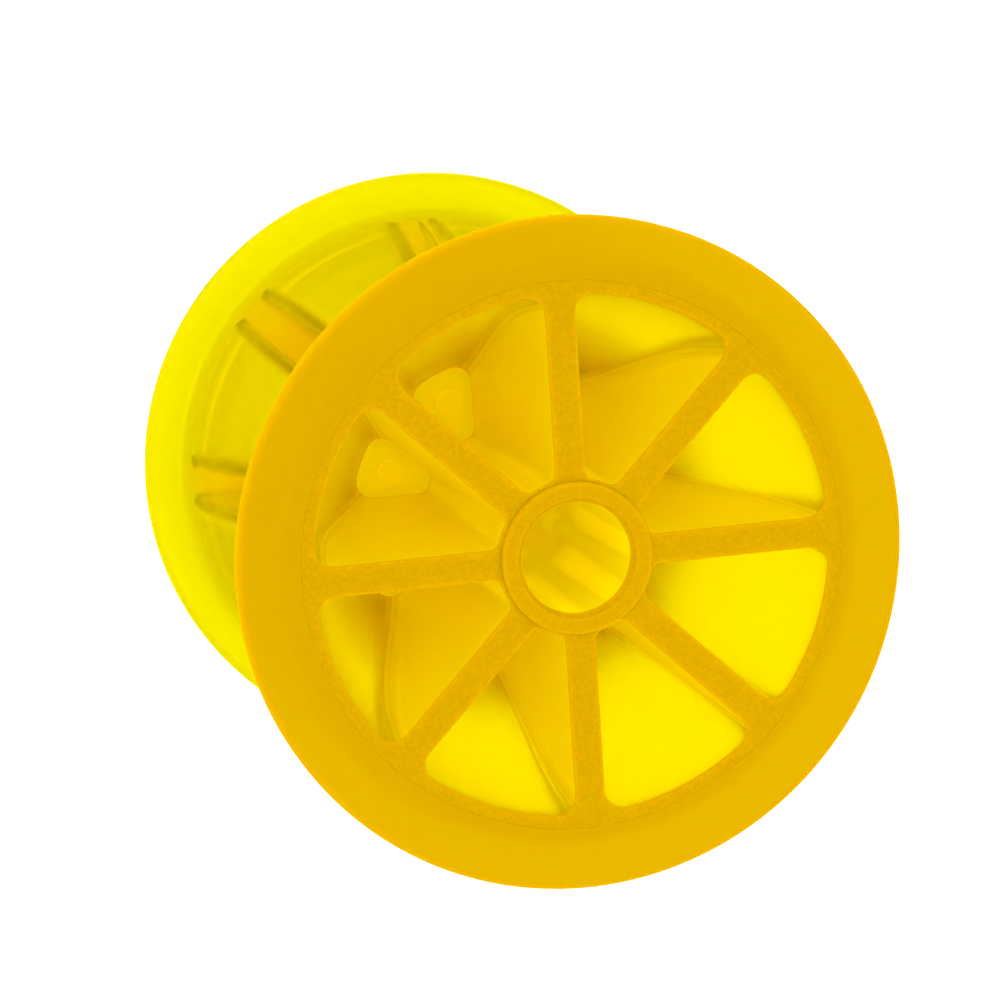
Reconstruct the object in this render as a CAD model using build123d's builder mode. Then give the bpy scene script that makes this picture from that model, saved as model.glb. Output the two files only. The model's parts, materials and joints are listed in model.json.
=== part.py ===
"""Corner insulator for an electric fence: a moulded plastic spool.

The axis of the spool is Z. It stands on the face of its rear flange, at z = 0, and one rib of each end
lies along +X. The moulding is written as its separate features, which meet face to face.
"""

from build123d import *
import math
import os

# ---------------------------------------------------------------- overall sizes, mm
length = 65.0                   # from the face of one flange to the face of the other
flange_diameter = 60.0
neck_diameter = 32.8            # bottom of the wire groove

# flanges
rim_width = 6.7                 # flat ring on the end face, outside the pockets
flange_thickness = 2.0          # edge of the flange, at the mouth of the groove
flange_edge_round = 0.4
groove_fillet = 1.2             # between the flange and the flank of the groove

# skin between the wire groove and the cored ends
neck_wall = 2.2                 # at mid-length
shoulder_wall = 2.4             # under the flange
flank_station = 0.52            # share of the pocket's depth at which the flank is steepest
flank_fullness = 0.63           # share of the flank's fall that is still left at that station
mouth_slope = 0.10              # fall of the radius per mm of depth, at the mouth of a pocket
floor_slope = 0.30              # the same at its floor

# bore for the pin, nail or screw
bore_diameter = 10.0
bore_chamfer = 0.4
tube_wall_at_face = 1.8
tube_wall_at_web = 2.4
boss_height = 0.8               # ring round the bore, proud of the front face only

# cored ends
web_thickness = 3.0             # the web that closes the pockets of both ends
rib_count = 8
rib_thickness_at_face = 2.7
rib_thickness_at_floor = 4.0
pocket_corner_round = 1.6       # where a rib meets the skin
pocket_root_round = 0.7         # where a rib meets the tube

# ---------------------------------------------------------------- worked out from the sizes
middle = length / 2
flange_radius = flange_diameter / 2
neck_radius = neck_diameter / 2
bore_radius = bore_diameter / 2
web_top = middle + web_thickness / 2
pocket_depth = length - web_top
pocket_mouth_radius = flange_radius - rim_width
pocket_floor_radius = neck_radius - neck_wall
flank_depth = flank_station * pocket_depth
flank_radius = pocket_floor_radius + flank_fullness * (pocket_mouth_radius - pocket_floor_radius)
tube_radius_at_face = bore_radius + tube_wall_at_face
tube_radius_at_web = bore_radius + tube_wall_at_web
flange_depth = flange_thickness + groove_fillet
rib_pitch = 360 / rib_count


def cored_end():
    """The whole hollow of the front end: between the tube and the skin, from the web to the face."""
    with BuildPart() as hollow:
        with BuildSketch(Plane.XZ):
            with BuildLine():
                Line((tube_radius_at_web, web_top), (tube_radius_at_face, length))
                Line((tube_radius_at_face, length), (pocket_mouth_radius, length))
                Spline(
                    (pocket_mouth_radius, length),
                    (flank_radius, length - flank_depth),
                    (pocket_floor_radius, web_top),
                    tangents=((-mouth_slope, -1), (-floor_slope, -1)),
                )
                Line((pocket_floor_radius, web_top), (tube_radius_at_web, web_top))
            make_face()
        revolve(axis=Axis.Z)
    return hollow.part


def spool_skin():
    """Front half of the spool's outer wall: flange, groove flank and neck, open along the axis."""
    with BuildPart() as skin:
        with BuildSketch(Plane.XZ):
            with BuildLine():
                Line((pocket_floor_radius, middle), (pocket_floor_radius, web_top))
                Spline(
                    (pocket_floor_radius, web_top),
                    (flank_radius, length - flank_depth),
                    (pocket_mouth_radius, length),
                    tangents=((floor_slope, 1), (mouth_slope, 1)),
                )
                Polyline(
                    (pocket_mouth_radius, length),
                    (flange_radius, length),
                    (flange_radius, length - flange_thickness),
                    (pocket_mouth_radius + shoulder_wall, length - flange_thickness),
                )
                Spline(
                    (pocket_mouth_radius + shoulder_wall, length - flange_thickness),
                    (flank_radius + shoulder_wall, length - flank_depth),
                    (neck_radius, middle),
                    tangents=((-mouth_slope, -1), (0, -1)),
                )
                Line((neck_radius, middle), (pocket_floor_radius, middle))
            make_face()
        revolve(axis=Axis.Z)
        groove_corner = skin.edges().filter_by(GeomType.CIRCLE).filter_by_position(
            Axis.Z, length - flange_thickness, length - flange_thickness
        ).sort_by(SortBy.RADIUS)[0]
        fillet(groove_corner, radius=groove_fillet)
        rim = skin.edges().filter_by(GeomType.CIRCLE).sort_by(SortBy.RADIUS)[-2:]
        fillet(rim, radius=flange_edge_round)
    return skin.part


def upright_edges(space):
    """Edges that run from the mouth of a pocket to its floor, the innermost first."""
    return space.edges().filter_by(
        lambda edge: abs(edge.position_at(1).Z - edge.position_at(0).Z) > pocket_depth / 2
    ).sort_by(Axis.X)


def pocket():
    """One wedge-shaped pocket of the front end, with rounded corners, between the ribs at 0 and one pitch."""
    half_pitch = math.radians(rib_pitch / 2)
    reach = flange_diameter
    with BuildPart() as space:
        # a wedge that widens towards the face, cut to the hollow's shape
        for height, thickness in ((web_top, rib_thickness_at_floor), (length, rib_thickness_at_face)):
            with BuildSketch(Plane.XY.offset(height)):
                with BuildLine():
                    tip = thickness / 2 / math.sin(half_pitch)
                    Polyline(
                        (tip, 0),
                        (tip + reach, reach * math.tan(half_pitch)),
                        (tip + reach, -reach * math.tan(half_pitch)),
                        close=True,
                    )
                make_face()
        loft(ruled=True)
        add(cored_end(), mode=Mode.INTERSECT)
        fillet(upright_edges(space)[-2:], radius=pocket_corner_round)
        fillet(upright_edges(space)[:2], radius=pocket_root_round)
    return space.part.rotate(Axis.Z, rib_pitch / 2)


def first_rib():
    """The rib of the front end that lies along +X, flared where it runs into the tube and the skin."""
    space = pocket()
    with BuildPart() as ribs:
        add(cored_end())
        with PolarLocations(0, rib_count):
            add(space, mode=Mode.SUBTRACT)
    return ribs.part.solids().sort_by(Axis.X)[-1]


def write_node(name, shape, at_rear=False, angle=0):
    """Write one named piece; the rear end's pieces are the front ones mirrored about mid-length."""
    with BuildPart() as piece:
        add(shape, rotation=(0, 0, angle))
        if at_rear:
            mirror(about=Plane.XY.offset(middle), mode=Mode.REPLACE)
    piece.part.label = name
    export_step(piece.part, f"parts/{name}.step")


os.makedirs("parts", exist_ok=True)

with BuildPart() as flange:
    # the flat rim with the fillet that leads into the groove
    add(spool_skin())
    split(bisect_by=Plane.XY.offset(length - flange_depth), keep=Keep.TOP)

with BuildPart() as neck:
    # half of the hourglass, from its waist to the flange
    add(spool_skin())
    split(bisect_by=Plane.XY.offset(length - flange_depth), keep=Keep.BOTTOM)

rib = first_rib()
for end in ("front", "rear"):
    at_rear = end == "rear"
    write_node(f"{end}_flange", flange.part, at_rear)
    write_node(f"{end}_neck", neck.part, at_rear)
    for number in range(rib_count):
        write_node(f"{end}_rib_{number + 1}", rib, at_rear, number * rib_pitch)

with BuildPart() as middle_web:
    # closes the pockets of both ends, round the tube and inside the neck
    with BuildSketch(Plane.XY.offset(middle - web_thickness / 2)):
        Circle(pocket_floor_radius)
        Circle(tube_radius_at_web, mode=Mode.SUBTRACT)
    extrude(amount=web_thickness)
middle_web.part.label = "middle_web"
export_step(middle_web.part, "parts/middle_web.step")

with BuildPart() as bore_tube:
    # thicker towards the web, with a boss that stands out at the front
    with BuildSketch(Plane.XZ):
        with BuildLine():
            Polyline(
                (bore_radius, 0),
                (tube_radius_at_face, 0),
                (tube_radius_at_web, length - web_top),
                (tube_radius_at_web, web_top),
                (tube_radius_at_face, length),
                (tube_radius_at_face, length + boss_height),
                (bore_radius, length + boss_height),
                close=True,
            )
        make_face()
    revolve(axis=Axis.Z)
    bore_mouths = bore_tube.edges().filter_by(GeomType.CIRCLE).sort_by(SortBy.RADIUS)[:2]
    chamfer(bore_mouths, length=bore_chamfer)
bore_tube.part.label = "bore_tube"
export_step(bore_tube.part, "parts/bore_tube.step")
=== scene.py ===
"""Looks of the corner insulator: one translucent yellow moulding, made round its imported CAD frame."""

import json
import math

import bmesh
import bpy
from bpy.props import FloatProperty, FloatVectorProperty, IntProperty, PointerProperty
from bpy.types import Operator, Panel, PropertyGroup
from mathutils import Matrix, Quaternion, Vector


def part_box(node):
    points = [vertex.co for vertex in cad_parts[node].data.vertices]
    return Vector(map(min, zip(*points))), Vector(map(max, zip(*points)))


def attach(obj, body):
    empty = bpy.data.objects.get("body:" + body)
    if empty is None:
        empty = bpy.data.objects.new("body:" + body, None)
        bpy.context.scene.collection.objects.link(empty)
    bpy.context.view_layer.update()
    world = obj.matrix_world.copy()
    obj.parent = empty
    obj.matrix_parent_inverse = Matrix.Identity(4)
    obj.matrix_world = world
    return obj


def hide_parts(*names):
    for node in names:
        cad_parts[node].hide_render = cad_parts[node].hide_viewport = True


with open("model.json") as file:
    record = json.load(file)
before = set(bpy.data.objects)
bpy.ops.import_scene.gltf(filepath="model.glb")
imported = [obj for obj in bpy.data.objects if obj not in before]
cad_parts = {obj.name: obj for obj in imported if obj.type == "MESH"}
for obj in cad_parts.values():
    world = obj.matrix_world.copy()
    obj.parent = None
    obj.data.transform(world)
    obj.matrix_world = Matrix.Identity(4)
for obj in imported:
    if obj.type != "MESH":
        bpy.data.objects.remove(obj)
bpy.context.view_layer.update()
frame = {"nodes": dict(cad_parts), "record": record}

bl_info = {
    "name": "Corner insulator",
    "version": (1, 0, 0),
    "blender": (4, 5, 0),
    "location": "View3D > Sidebar > Insulator",
    "description": "Makes a moulded plastic fence insulator, its stage and its camera",
    "category": "Object",
}

MM = 0.001
TINY = 0.001 * MM               # two places closer than this are one
WELD = 0.002 * MM               # two points closer than this are joined
SHARP = math.radians(50)        # edges that turn more than this are shaded crisp
LEVEL_FACE = 0.9999             # a face whose normal points up or down by more than this share is level
LEVEL_POINT = 0.9               # and a point, which then lies on an end face or on the flange beside the groove
END_STRIP = 0.06 * MM           # next to an end face, where the parting line's ridge has run out
RIB_TURN = 0.3                  # a pocket's wall that faces the axis less than this share is a rib or the tube
FLANK_TURN = 0.7                # one that faces it more than this share is the flank
AIM_OFF_AXIS = (0.47, 0.26)     # where the camera aims, in millimetres from the axis

# ------------------------------------------------------------------ places and sizes read from the frame
MOUNTS = {mount["name"]: mount for mount in frame["record"]["mounts"]}
_, FLANGE_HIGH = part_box("front_flange")
_, WEB_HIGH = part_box("middle_web")
_, TUBE_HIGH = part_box("bore_tube")
_, RIB_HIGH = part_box("front_rib_1")
NODES = sorted(frame["nodes"])

LENGTH = FLANGE_HIGH[2]
MIDDLE = LENGTH / 2
FLANGE_RADIUS = FLANGE_HIGH[0]
MOUTH_RADIUS = RIB_HIGH[0]
FLOOR_RADIUS = WEB_HIGH[0]
FLOOR_DEPTH = LENGTH - WEB_HIGH[2]
TUBE_RADIUS_AT_WEB = TUBE_HIGH[0]
BOSS_TOP = TUBE_HIGH[2]
BORE_RADIUS = MOUNTS["bore"]["dims"]["r_mm"] * MM
NECK_RADIUS = MOUNTS["wire_groove"]["pos_m"][0]
RIB_COUNT = sum(name.startswith("front_rib_") for name in NODES)


def size(name, description, default, **more):
    """A length that a user may change, given in millimetres."""
    return FloatProperty(name=name, description=description, default=default * MM, unit="LENGTH", **more)


def share(name, description, default):
    """A plain number between 0 and 1."""
    return FloatProperty(name=name, description=description, default=default, min=0, max=1, subtype="FACTOR")


def colour(name, description, default):
    """A colour in linear values."""
    return FloatVectorProperty(name=name, description=description, default=default, min=0, max=1,
                               size=3, subtype="COLOR")


def direction(azimuth, elevation):
    """A direction from the object, as a unit vector."""
    flat = math.cos(elevation)
    return Vector((flat * math.cos(azimuth), flat * math.sin(azimuth), math.sin(elevation)))


class InsulatorMoulding(PropertyGroup):
    """Sizes of the moulding that the frame doesn't hold."""

    flange_thickness: size("Flange thickness", "Edge of a flange, at the mouth of the groove", 2.0)
    flange_edge_round: size("Flange edge round", "Round on the outer edge of a flange", 0.45)
    groove_fillet: size("Groove fillet", "Between a flange and the flank of the groove", 1.2)
    shoulder_wall: size("Shoulder wall", "Skin between the groove and a pocket, under a flange", 2.4)
    flank_station: share("Flank station", "Share of a pocket's depth at which its flank is steepest", 0.52)
    flank_fullness: share("Flank fullness", "Share of the flank's fall still left at that station", 0.63)
    mouth_slope: share("Mouth slope", "Fall of the radius per unit of depth, at a pocket's mouth", 0.10)
    floor_slope: share("Floor slope", "Fall of the radius per unit of depth, at a pocket's floor", 0.30)
    rib_at_face: size("Rib at the face", "Thickness of a rib at the end face", 2.7)
    rib_at_floor: size("Rib at the floor", "Thickness of a rib at the web", 4.0)
    corner_round: size("Corner round", "Where a rib meets the skin", 1.6)
    root_round: size("Root round", "Where a rib meets the tube", 0.8)
    floor_fillet: size("Floor fillet", "Round the floor of a pocket", 0.8)
    mouth_round: size("Mouth round", "Edge between the end face and a pocket", 0.22)
    tube_at_face: size("Tube at the face", "Outer radius of the tube at the mouth of the pockets", 7.05)
    boss_radius: size("Boss radius", "Outer radius of the boss round the bore", 6.75)
    boss_round: size("Boss round", "Edge round the top of the boss", 0.25)
    bore_chamfer: size("Bore chamfer", "At both mouths of the bore", 0.4)
    witness_radius: size("Witness radius", "Line left by the core insert on the end face", 24.4)
    witness_width: size("Witness width", "Width of that line", 0.16)
    witness_depth: size("Witness depth", "Depth of that line", 0.05)
    seam_width: size("Seam width", "Ridge where the two halves of the mould met", 0.24)
    seam_height: size("Seam height", "Height of that ridge", 0.06)
    ejector_radius: size("Ejector radius", "Round mark of an ejector pin on a pocket's floor", 1.2)
    ejector_place: size("Ejector place", "Distance of that mark from the axis", 11.3)
    ejector_height: size("Ejector height", "How far the mark stands out", 0.3)
    segments: IntProperty(name="Segments", description="Steps round the axis", default=160, min=32)


class InsulatorPlastic(PropertyGroup):
    """The translucent plastic: clear where it is thin and smooth, hazy where it is thick or grained."""

    clear_colour: colour("Clear colour", "Of light at the surface of the clear plastic", (0.905, 0.92, 0.0))
    clear_roughness: share("Clear roughness", "Of that surface", 0.22)
    bend: FloatProperty(name="Bend", description="Refractive index of the clear plastic", default=1.4, min=1)
    depth_colour: colour("Depth colour", "What the clear plastic lets through", (0.99925, 0.99225, 0.0))
    depth_density: FloatProperty(name="Depth density", description="How fast it takes the rest off, per metre",
                                 default=4000, min=0)
    body_colour: colour("Body colour", "Haze on every other surface", (0.68, 0.465, 0.0))
    # Painted light: a lighter haze colour on the pockets' floors and in the bore, standing in for light against
    # their shade.
    painted_lift_colour: colour("Painted lift colour", "Haze on the floors of the pockets and in the bore", (0.72, 0.56, 0.0))
    # Partly the deeper amber of the thick flange, partly painted shade: the front face is darkened against the
    # stronger key light that falls on it.
    face_amber_and_shade: colour("Face amber and shade", "Haze on the front face", (0.42, 0.244, 0.0))
    haze_roughness: share("Haze roughness", "Of the hazy plastic", 0.5)
    # Painted light: an emission on the hazy plastic that lifts its shade in the pockets and the bore; the part
    # glows though it is no lamp.
    painted_glow: share("Painted glow", "Glow painted on the hazy plastic, as a share of the haze's colour", 0.4)
    wander: size("Wander", "How far light wanders inside the haze", 2.0)
    wander_colour: colour("Wander colour", "How far each colour wanders, as a share", (1.0, 0.5, 0.02))
    face_haze: share("Face haze", "Share of haze on the front face and the lip round it", 0.95)
    outer_haze: share("Outer haze", "On the flanges and in the groove", 0.12)
    bore_haze: share("Bore haze", "In the bore", 0.7)
    flank_haze: share("Flank haze", "In a pocket, on the thin skin round it", 0.42)
    rib_haze: share("Rib haze", "In a pocket, on its ribs and on the tube", 0.75)
    floor_haze: share("Floor haze", "On the floors of the pockets", 0.85)
    face_reach: size("Face reach", "How far the front face's haze goes down", 0.35)
    lip_reach: size("Lip reach", "How far that haze goes in from the edge of the front flange", 0.3)
    bore_reach: size("Bore reach", "How far the bore's haze goes into the boss", 0.3)
    floor_reach: size("Floor reach", "How far the floor's haze goes up the walls", 0.5)
    grain_size: size("Grain size", "Of the spark-eroded grain on the ends of the ribs", 0.35)
    grain_depth: size("Grain depth", "Height of that grain", 0.08)
    grain_contrast: share("Grain contrast", "How much that grain changes the colour", 0.35)
    smooth_grain: share("Smooth grain", "Share of that grain on every other surface", 0.1)


class InsulatorStage(PropertyGroup):
    """Floor, light and camera."""

    floor_colour: colour("Floor colour", "Pale floor", (0.75, 0.75, 0.75))
    floor_glow: FloatProperty(name="Floor glow", description="Light of the floor's own", default=0.45, min=0)
    floor_gap: size("Floor gap", "Between the floor and the rear face", 0.1)
    floor_size: FloatProperty(name="Floor size", description="Side of the floor", default=4.0, unit="LENGTH")
    sky: FloatProperty(name="Sky", description="Strength of the even light all round", default=0.8, min=0)
    key: FloatProperty(name="Key", description="Strength of the soft light from above", default=0.9, min=0)
    key_focus: FloatProperty(name="Key focus", description="How narrow that light is", default=12, min=1)
    key_elevation: FloatProperty(name="Key elevation", description="Its height above the floor",
                                 default=math.radians(79), subtype="ANGLE")
    lens: FloatProperty(name="Lens", description="Focal length on a 36 mm wide sensor", default=128.7,
                        unit="CAMERA")
    distance: size("Distance", "From the camera to the middle of the axis", 345.2)
    azimuth: FloatProperty(name="Azimuth", description="Direction of the camera from the axis",
                           default=math.radians(141.607), subtype="ANGLE")
    elevation: FloatProperty(name="Elevation", description="Height of the camera above the floor",
                             default=math.radians(74.753), subtype="ANGLE")
    roll: FloatProperty(name="Roll", description="Turn of the camera about its own axis",
                        default=math.radians(123.633), subtype="ANGLE")


# ------------------------------------------------------------------ shaders

class Number:
    """A socket that carries a number, so that shader maths reads as maths."""

    def __init__(self, shader, socket):
        self.shader = shader
        self.socket = socket

    def maths(self, operation, *values):
        node = self.shader.node("ShaderNodeMath", {"operation": operation}, dict(enumerate(values)))
        return Number(self.shader, node.outputs[0])

    def at_least(self, other):
        return self.maths("MAXIMUM", self, other)

    def __add__(self, other):
        return self.maths("ADD", self, other)

    def __sub__(self, other):
        return self.maths("SUBTRACT", self, other)

    def __rsub__(self, other):
        return self.maths("SUBTRACT", other, self)

    def __mul__(self, other):
        return self.maths("MULTIPLY", self, other)

    def __pow__(self, other):
        return self.maths("POWER", self, other)

    def __gt__(self, other):
        return self.maths("GREATER_THAN", self, other)

    def __abs__(self):
        return self.maths("ABSOLUTE", self)

    def __lt__(self, other):
        return self.maths("LESS_THAN", self, other)


class Shader:
    """The node tree of one material or world."""

    def __init__(self, owner):
        owner.use_nodes = True
        self.owner = owner
        self.tree = owner.node_tree
        self.tree.nodes.clear()

    def node(self, kind, settings=None, values=None):
        """A node of this kind, with its settings first and then the values or links of its sockets."""
        node = self.tree.nodes.new(kind)
        for key, value in (settings or {}).items():
            setattr(node, key, value)
        for key, value in (values or {}).items():
            socket = value.socket if isinstance(value, Number) else value
            if isinstance(socket, bpy.types.NodeSocket):
                self.tree.links.new(socket, node.inputs[key])
            else:
                node.inputs[key].default_value = socket
        return node

    def number(self, node, output=0):
        return Number(self, node.outputs[output])


def plastic_material(plastic, moulding):
    """Dyed translucent plastic: clear skins, hazy walls, and a grained front face, with a painted glow on the
    haze, a lighter colour painted on the pockets' floors and in the bore, and a front face painted darker.
    """
    shader = Shader(bpy.data.materials.new("yellow_plastic"))
    place = shader.node("ShaderNodeTexCoord").outputs["Object"]
    axes = shader.node("ShaderNodeSeparateXYZ", values={"Vector": place})
    x = shader.number(axes, "X")
    y = shader.number(axes, "Y")
    radius = (x * x + y * y) ** 0.5
    height = shader.number(axes, "Z")
    lip = (radius > FLANGE_RADIUS - plastic.lip_reach) * (height > MIDDLE)
    face = (height > LENGTH - plastic.face_reach).at_least(lip)
    bore = radius < BORE_RADIUS + plastic.bore_reach
    outer = shader.number(shader.node("ShaderNodeAttribute", {"attribute_name": "outside"}), "Fac")
    flank = shader.number(shader.node("ShaderNodeAttribute", {"attribute_name": "flank"}), "Fac")

    grain = shader.node("ShaderNodeTexNoise", values={
        "Vector": place, "Scale": 1 / plastic.grain_size, "Detail": 3.0, "Roughness": 0.6})
    grained = face * (radius < moulding.witness_radius)
    strength = grained * (1 - plastic.smooth_grain) + plastic.smooth_grain
    speckle = (shader.number(grain, "Fac") - 0.5) * strength
    bump = shader.node("ShaderNodeBump", values={
        "Strength": 1.0, "Distance": plastic.grain_depth, "Height": speckle})

    floor = abs(height - MIDDLE) < WEB_HIGH[2] - MIDDLE + plastic.floor_reach
    walls = flank * plastic.flank_haze + (1 - flank) * plastic.rib_haze
    inside = walls.at_least(floor * plastic.floor_haze) * (1 - bore) + bore * plastic.bore_haze
    haze = (inside * (1 - outer) + outer * plastic.outer_haze) * (1 - face) + face * plastic.face_haze
    behind = shader.number(shader.node("ShaderNodeNewGeometry"), "Backfacing")

    clear = shader.node("ShaderNodeBsdfGlass", values={
        "Color": (*plastic.clear_colour, 1.0),
        "Roughness": plastic.clear_roughness,
        "Normal": bump.outputs["Normal"],
        "IOR": plastic.bend,
    })
    # Painted light: the pockets' floors and the bore take the lighter colour, against the shade in these
    # recesses.
    painted_lift = shader.node("ShaderNodeMix", {"data_type": "RGBA"}, {
        0: floor.at_least(bore), 6: (*plastic.body_colour, 1.0), 7: (*plastic.painted_lift_colour, 1.0)})
    # The front face takes its darker colour: the deeper amber of the thick flange, and painted shade against
    # the key light.
    tint = shader.node("ShaderNodeMix", {"data_type": "RGBA"}, {
        0: face, 6: painted_lift.outputs[2], 7: (*plastic.face_amber_and_shade, 1.0)})
    flecked = shader.node("ShaderNodeHueSaturation", values={
        "Color": tint.outputs[2], "Value": speckle * plastic.grain_contrast + 1})
    hazy = shader.node("ShaderNodeBsdfPrincipled", {"subsurface_method": "RANDOM_WALK"}, {
        "Base Color": flecked.outputs["Color"],
        "Roughness": plastic.haze_roughness,
        "Normal": bump.outputs["Normal"],
        "Specular IOR Level": 0.0,
        "Subsurface Weight": 1.0,
        "Subsurface Radius": tuple(plastic.wander_colour),
        "Subsurface Scale": plastic.wander,
        # Painted light: the haze glows in its own colour, lifting the shade in the pockets and the bore.
        "Emission Color": flecked.outputs["Color"],
        "Emission Strength": plastic.painted_glow,
    })
    surface = shader.node("ShaderNodeMixShader", values={
        0: haze * (1 - behind), 1: clear.outputs["BSDF"], 2: hazy.outputs["BSDF"]})
    depth = shader.node("ShaderNodeVolumeAbsorption", values={
        "Color": (*plastic.depth_colour, 1.0), "Density": plastic.depth_density})
    shader.node("ShaderNodeOutputMaterial", values={
        "Surface": surface.outputs["Shader"], "Volume": depth.outputs["Volume"]})
    return shader.owner


def floor_material(tint, glow):
    """Even matt paint that shines a little of its own."""
    shader = Shader(bpy.data.materials.new("pale_floor"))
    surface = shader.node("ShaderNodeBsdfPrincipled", values={
        "Base Color": (*tint, 1.0),
        "Roughness": 0.9,
        "Emission Color": (1.0, 1.0, 1.0, 1.0),
        "Emission Strength": glow,
    })
    shader.node("ShaderNodeOutputMaterial", values={"Surface": surface.outputs["BSDF"]})
    return shader.owner


def soft_light(stage):
    """Even light all round, that swells towards one soft lamp above."""
    shader = Shader(bpy.data.worlds.new("soft_light"))
    aim = shader.node("ShaderNodeVectorMath", {"operation": "DOT_PRODUCT"}, {
        0: shader.node("ShaderNodeTexCoord").outputs["Generated"],
        1: direction(stage.azimuth, stage.key_elevation)})
    swell = shader.number(aim, "Value").at_least(0.0) ** stage.key_focus
    light = shader.node("ShaderNodeBackground", values={
        "Color": (1.0, 1.0, 1.0, 1.0),
        "Strength": swell * (stage.key * (stage.key_focus + 2) / 2) + stage.sky})
    shader.node("ShaderNodeOutputWorld", values={"Surface": light.outputs["Background"]})
    return shader.owner


# ------------------------------------------------------------------ outlines

def flank_curve(depths, radii, first_slope, last_slope):
    """Radius against depth: two cubics that share slope and curvature where they meet."""
    above = depths[1] - depths[0]
    below = depths[2] - depths[1]
    rise = 3 * ((radii[1] - radii[0]) / above ** 2 + (radii[2] - radii[1]) / below ** 2)
    middle_slope = (rise - first_slope / above - last_slope / below) / (2 / above + 2 / below)

    def radius(depth):
        upper = depth < depths[1]
        part = 0 if upper else 1
        span = above if upper else below
        slopes = (first_slope, middle_slope) if upper else (middle_slope, last_slope)
        t = (depth - depths[part]) / span
        return (radii[part] * (1 - t) ** 2 * (1 + 2 * t) + radii[part + 1] * t * t * (3 - 2 * t)
                + span * t * (1 - t) * (slopes[0] * (1 - t) - slopes[1] * t))
    return radius


def arc(centre, radius, start, end, steps):
    """Points of an arc, both ends included, angles in radians."""
    angles = [start + (end - start) * step / steps for step in range(steps + 1)]
    return [(centre[0] + radius * math.cos(a), centre[1] + radius * math.sin(a)) for a in angles]


def pocket_flank(moulding):
    """Radius of a pocket's outer wall against depth."""
    return flank_curve(
        (0, moulding.flank_station * FLOOR_DEPTH, FLOOR_DEPTH),
        (MOUTH_RADIUS, FLOOR_RADIUS + moulding.flank_fullness * (MOUTH_RADIUS - FLOOR_RADIUS), FLOOR_RADIUS),
        -moulding.mouth_slope, -moulding.floor_slope)


def groove_flank(moulding):
    """Radius of the wire groove against depth, from the flange to the waist."""
    station = moulding.flank_station * FLOOR_DEPTH
    wall = moulding.shoulder_wall
    return flank_curve((moulding.flange_thickness, station, MIDDLE),
                       (MOUTH_RADIUS + wall, pocket_flank(moulding)(station) + wall, NECK_RADIUS),
                       -moulding.mouth_slope, 0)


def skin_outline(moulding):
    """Half of the spool's outside, as (radius, depth), from the core line on the face to the waist."""
    half_line = moulding.witness_width / 2
    edge = moulding.flange_edge_round
    thick = moulding.flange_thickness
    flank = groove_flank(moulding)
    fillet = moulding.groove_fillet
    foot = thick + fillet
    corner = FLANGE_RADIUS - edge
    points = [(moulding.witness_radius - half_line, 0), (moulding.witness_radius, moulding.witness_depth),
              (moulding.witness_radius + half_line, 0)]
    points += arc((corner, edge), edge, -math.pi / 2, 0, 5)
    points += arc((corner, thick - edge), edge, 0, math.pi / 2, 5)
    points += arc((flank(foot) + fillet, foot), fillet, 1.5 * math.pi, math.pi, 8)
    steps = 26
    points += [(flank(d), d) for d in (foot + (MIDDLE - foot) * (i + 1) / steps for i in range(steps))]
    return points


def bore_outline(moulding):
    """The boss, the bore and the flat ring round its rear mouth, as (radius, height)."""
    boss = moulding.boss_radius
    edge = moulding.boss_round
    cut = moulding.bore_chamfer
    points = [(boss, LENGTH)]
    points += arc((boss - edge, BOSS_TOP - edge), edge, 0, math.pi / 2, 4)
    points += [(BORE_RADIUS + cut, BOSS_TOP), (BORE_RADIUS, BOSS_TOP - cut)]
    points += [(BORE_RADIUS, LENGTH * step / 8) for step in range(7, 0, -1)]
    points += [(BORE_RADIUS, cut), (BORE_RADIUS + cut, 0), (boss, 0)]
    return points


def pocket_outline(moulding, depth, inset):
    """Outline of a pocket at a depth, drawn in by inset: a wedge about +X with four rounded corners."""
    spread = math.pi / RIB_COUNT
    fall = depth / FLOOR_DEPTH
    rib = moulding.rib_at_face + (moulding.rib_at_floor - moulding.rib_at_face) * fall
    side = rib / 2 + inset
    outer = pocket_flank(moulding)(depth) - inset
    inner = moulding.tube_at_face + (TUBE_RADIUS_AT_WEB - moulding.tube_at_face) * fall + inset
    least = 0.25 * MM
    corner = max(moulding.corner_round - inset, least)
    root = max(moulding.root_round - inset, least)
    root_along = math.sqrt((inner + root) ** 2 - (side + root) ** 2)
    corner_along = math.sqrt((outer - corner) ** 2 - (side + corner) ** 2)
    root_angle = math.atan2(side + root, root_along)
    corner_angle = math.atan2(side + corner, corner_along)
    down = -math.pi / 2
    half = arc((0, 0), inner, spread, root_angle, 2)[:-1]
    half += arc((root_along, side + root), root, root_angle - math.pi, down, 3)
    steps = 8
    half += [(root_along + (corner_along - root_along) * step / steps, side) for step in range(1, steps)]
    half += arc((corner_along, side + corner), corner, down, corner_angle, 5)
    half += arc((0, 0), outer, corner_angle, spread, 6)[1:]
    turn = Matrix.Rotation(-spread, 2)
    half = [turn @ Vector(point) for point in half]
    other = [Vector((point.x, -point.y)) for point in reversed(half[1:-1])]
    return half + other


# ------------------------------------------------------------------ mesh work

def path(bm, points, closed=False):
    """Edges through 3-D points."""
    verts = [bm.verts.new(point) for point in points]
    pairs = list(zip(verts, verts[1:] + verts[:1] if closed else verts[1:]))
    return verts, [bm.edges.new(pair) for pair in pairs]


def turned(bm, outline, segments):
    """A surface of revolution about the axis."""
    verts, edges = path(bm, [(radius, 0, height) for radius, height in outline])
    bmesh.ops.spin(bm, geom=verts + edges, cent=(0, 0, 0), axis=(0, 0, 1), angle=2 * math.pi,
                   steps=segments, use_merge=True)


def weld(bm):
    """Join points that lie at one place."""
    bmesh.ops.remove_doubles(bm, verts=bm.verts, dist=WELD)


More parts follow.
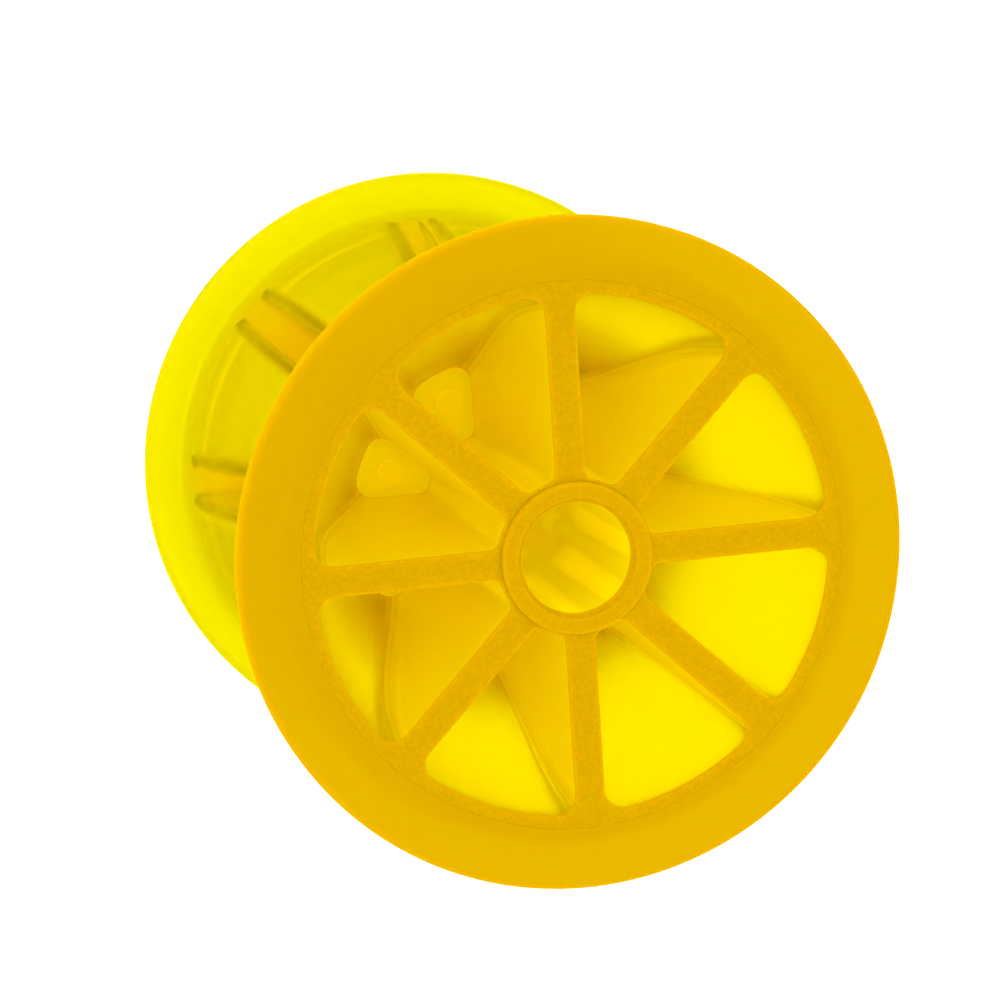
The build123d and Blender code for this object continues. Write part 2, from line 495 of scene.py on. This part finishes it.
def make_skin(bm, moulding):
    """Both flanges and the groove between them, with the ridge where the mould's halves met."""
    half = skin_outline(moulding)
    outline = [(radius, LENGTH - depth) for radius, depth in half]
    outline += [(radius, depth) for radius, depth in reversed(half[:-1])]
    turned(bm, outline, moulding.segments)
    weld(bm)
    for side in (-1, 1):
        bmesh.ops.bisect_plane(bm, geom=bm.verts[:] + bm.edges[:] + bm.faces[:], dist=TINY,
                               plane_co=(side * moulding.seam_width / 2, 0, 0), plane_no=(1, 0, 0))
    bm.normal_update()
    ridge = [vert for vert in bm.verts if abs(vert.co.x) < TINY and abs(vert.normal.z) < LEVEL_POINT
             and END_STRIP < vert.co.z < LENGTH - END_STRIP]
    for vert in ridge:
        vert.co.y += math.copysign(moulding.seam_height, vert.co.y)


def make_pocket(bm, moulding):
    """One pocket of the front end, with a rounded mouth, a filleted floor and its ejector mark."""
    rings = []
    steps = 3
    for step in range(steps):
        turn = math.pi / 2 * step / steps
        rounding = moulding.mouth_round
        rings.append((rounding * (1 - math.cos(turn)), -rounding * (1 - math.sin(turn))))
    stations = 15
    top = moulding.mouth_round
    bottom = FLOOR_DEPTH - moulding.floor_fillet
    rings += [(top + (bottom - top) * step / stations, 0) for step in range(stations + 1)]
    steps = 4
    for step in range(1, steps + 1):
        turn = math.pi / 2 * step / steps
        fillet = moulding.floor_fillet
        rings.append((bottom + fillet * math.sin(turn), fillet * (1 - math.cos(turn))))

    loops = []
    for depth, inset in rings:
        outline = [(*point, LENGTH - depth) for point in pocket_outline(moulding, depth, inset)]
        loops.append(path(bm, outline, closed=True)[1])
    for upper, lower in zip(loops, loops[1:]):
        bmesh.ops.bridge_loops(bm, edges=upper + lower)

    mark = bmesh.ops.create_circle(bm, segments=24, radius=moulding.ejector_radius,
                                   matrix=Matrix.Translation((moulding.ejector_place, 0, WEB_HIGH[2])))
    mark_edges = list(dict.fromkeys(edge for vert in mark["verts"] for edge in vert.link_edges))
    bmesh.ops.triangle_fill(bm, edges=loops[-1] + mark_edges, use_beauty=True, normal=(0, 0, 1))
    raised = bmesh.ops.extrude_edge_only(bm, edges=mark_edges)["geom"]
    bmesh.ops.translate(bm, vec=(0, 0, moulding.ejector_height),
                        verts=[item for item in raised if isinstance(item, bmesh.types.BMVert)])
    bmesh.ops.edgeloop_fill(bm, edges=[item for item in raised if isinstance(item, bmesh.types.BMEdge)])


def make_pockets(bm, moulding):
    """The ring of pockets in the front end, and its mirror image in the rear end."""
    make_pocket(bm, moulding)
    pitch = 2 * math.pi / RIB_COUNT
    bmesh.ops.rotate(bm, verts=bm.verts, cent=(0, 0, 0), matrix=Matrix.Rotation(pitch / 2, 3, "Z"))
    bmesh.ops.spin(bm, geom=bm.verts[:] + bm.edges[:] + bm.faces[:], cent=(0, 0, 0), axis=(0, 0, 1),
                   angle=pitch * (RIB_COUNT - 1), steps=RIB_COUNT - 1, use_duplicate=True)
    rear = bmesh.ops.duplicate(bm, geom=bm.verts[:] + bm.edges[:] + bm.faces[:])["geom"]
    rear_verts = [item for item in rear if isinstance(item, bmesh.types.BMVert)]
    bmesh.ops.scale(bm, vec=(1, 1, -1), verts=rear_verts)
    bmesh.ops.translate(bm, vec=(0, 0, LENGTH), verts=rear_verts)


def close_ends(bm):
    """The flat ends of the ribs, between the core line, the pockets and the bore."""
    for height, up in ((LENGTH, 1), (0, -1)):
        open_edges = [edge for edge in bm.edges if edge.is_boundary
                      and all(abs(vert.co.z - height) < TINY for vert in edge.verts)]
        bmesh.ops.triangle_fill(bm, edges=open_edges, use_beauty=True, normal=(0, 0, up))


def keep_flats_flat(bm):
    """Smooth shading, with a crisp line where a level face meets a round."""
    bm.normal_update()
    for face in bm.faces:
        face.smooth = True
    for edge in bm.edges:
        level = [abs(face.normal.z) > LEVEL_FACE for face in edge.link_faces]
        edge.smooth = level[0] == level[-1] and edge.calc_face_angle(0) < SHARP


def joined(name, *makers):
    """One mesh object from several makers, welded and with its faces pointing outwards."""
    whole = bmesh.new()
    for maker in makers:
        part = bmesh.new()
        maker(part)
        mesh = bpy.data.meshes.new("part")
        part.to_mesh(mesh)
        part.free()
        whole.from_mesh(mesh)
        bpy.data.meshes.remove(mesh)
    weld(whole)
    close_ends(whole)
    weld(whole)
    bmesh.ops.recalc_face_normals(whole, faces=whole.faces)
    keep_flats_flat(whole)
    mesh = bpy.data.meshes.new(name)
    whole.to_mesh(mesh)
    whole.free()
    piece = bpy.data.objects.new(name, mesh)
    bpy.context.scene.collection.objects.link(piece)
    return piece


def mark_walls(mesh, moulding):
    """Mark every face: "outside" on the flanges and in the groove, "flank" on the skin round a pocket."""
    groove = groove_flank(moulding)
    pocket = pocket_flank(moulding)
    outside = []
    flank = []
    for face in mesh.polygons:
        depth = min(face.center.z, LENGTH - face.center.z)
        radius = max(face.center.xy.length, MM)
        wall_middle = (groove(max(depth, moulding.flange_thickness)) + pocket(min(depth, FLOOR_DEPTH))) / 2
        outside.append(float(radius > wall_middle))
        inwards = -face.normal.xy.dot(face.center.xy) / radius
        share_of_flank = (inwards - RIB_TURN) / (FLANK_TURN - RIB_TURN)
        flank.append((1 - outside[-1]) * min(max(share_of_flank, 0), 1))
    mesh.attributes.new("outside", "FLOAT", "FACE").data.foreach_set("value", outside)
    mesh.attributes.new("flank", "FLOAT", "FACE").data.foreach_set("value", flank)


class INSULATOR_OT_mould_body(Operator):
    """Make the moulded spool that stands for every feature of the frame"""

    bl_idname = "insulator.mould_body"
    bl_label = "Mould the body"

    def execute(self, context):
        moulding = context.scene.insulator_moulding
        plastic = context.scene.insulator_plastic
        body = joined(
            "moulded_body",
            lambda bm: make_skin(bm, moulding),
            lambda bm: turned(bm, bore_outline(moulding), moulding.segments),
            lambda bm: make_pockets(bm, moulding))
        mark_walls(body.data, moulding)
        body.data.materials.append(plastic_material(plastic, moulding))
        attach(body, "root")
        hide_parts(*NODES)
        return {"FINISHED"}


class INSULATOR_OT_set_stage(Operator):
    """Set the floor, the light and the camera"""

    bl_idname = "insulator.set_stage"
    bl_label = "Set the stage"

    def execute(self, context):
        stage = context.scene.insulator_stage
        self.make_floor(context, stage)
        context.scene.world = soft_light(stage)
        self.make_camera(context, stage)
        context.scene.view_settings.view_transform = "Standard"
        return {"FINISHED"}

    def make_floor(self, context, stage):
        """A level square under the part, kept off it by a small gap."""
        bm = bmesh.new()
        bmesh.ops.create_grid(bm, x_segments=1, y_segments=1, size=stage.floor_size / 2,
                              matrix=Matrix.Translation((0, 0, -stage.floor_gap)))
        mesh = bpy.data.meshes.new("floor")
        bm.to_mesh(mesh)
        bm.free()
        floor = bpy.data.objects.new("floor", mesh)
        context.scene.collection.objects.link(floor)
        floor.data.materials.append(floor_material(stage.floor_colour, stage.floor_glow))

    def make_camera(self, context, stage):
        """The camera, at its direction and roll."""
        back = direction(stage.azimuth, stage.elevation)
        camera = bpy.data.objects.new("camera", bpy.data.cameras.new("camera"))
        context.scene.collection.objects.link(camera)
        camera.data.lens = stage.lens
        camera.data.sensor_width = 36.0
        camera.data.clip_start = 1 * MM
        camera.rotation_mode = "QUATERNION"
        camera.rotation_quaternion = back.to_track_quat("Z", "Y") @ Quaternion((0, 0, 1), stage.roll)
        camera.location = Vector((AIM_OFF_AXIS[0] * MM, AIM_OFF_AXIS[1] * MM, MIDDLE)) + back * stage.distance
        context.scene.camera = camera


class INSULATOR_PT_panel(Panel):
    """Lists the insulator's operators and sizes in the sidebar"""

    bl_idname = "INSULATOR_PT_panel"
    bl_label = "Corner insulator"
    bl_space_type = "VIEW_3D"
    bl_region_type = "UI"
    bl_category = "Insulator"

    def draw(self, context):
        layout = self.layout
        scene = context.scene
        for operator in OPERATORS:
            layout.operator(operator.bl_idname)
        for group in (scene.insulator_moulding, scene.insulator_plastic, scene.insulator_stage):
            column = layout.column(align=True)
            for name in type(group).__annotations__:
                column.prop(group, name)


GROUPS = {
    "insulator_moulding": InsulatorMoulding,
    "insulator_plastic": InsulatorPlastic,
    "insulator_stage": InsulatorStage,
}
OPERATORS = (INSULATOR_OT_set_stage, INSULATOR_OT_mould_body)


def register():
    for group in GROUPS.values():
        bpy.utils.register_class(group)
    for cls in (*OPERATORS, INSULATOR_PT_panel):
        bpy.utils.register_class(cls)
    for name, group in GROUPS.items():
        setattr(bpy.types.Scene, name, PointerProperty(type=group))


def unregister():
    for name in GROUPS:
        delattr(bpy.types.Scene, name)
    for cls in (INSULATOR_PT_panel, *reversed(OPERATORS)):
        bpy.utils.unregister_class(cls)
    for group in reversed(GROUPS.values()):
        bpy.utils.unregister_class(group)


def main():
    register()
    bpy.ops.insulator.set_stage()
    bpy.ops.insulator.mould_body()


if __name__ == "__main__":
    main()
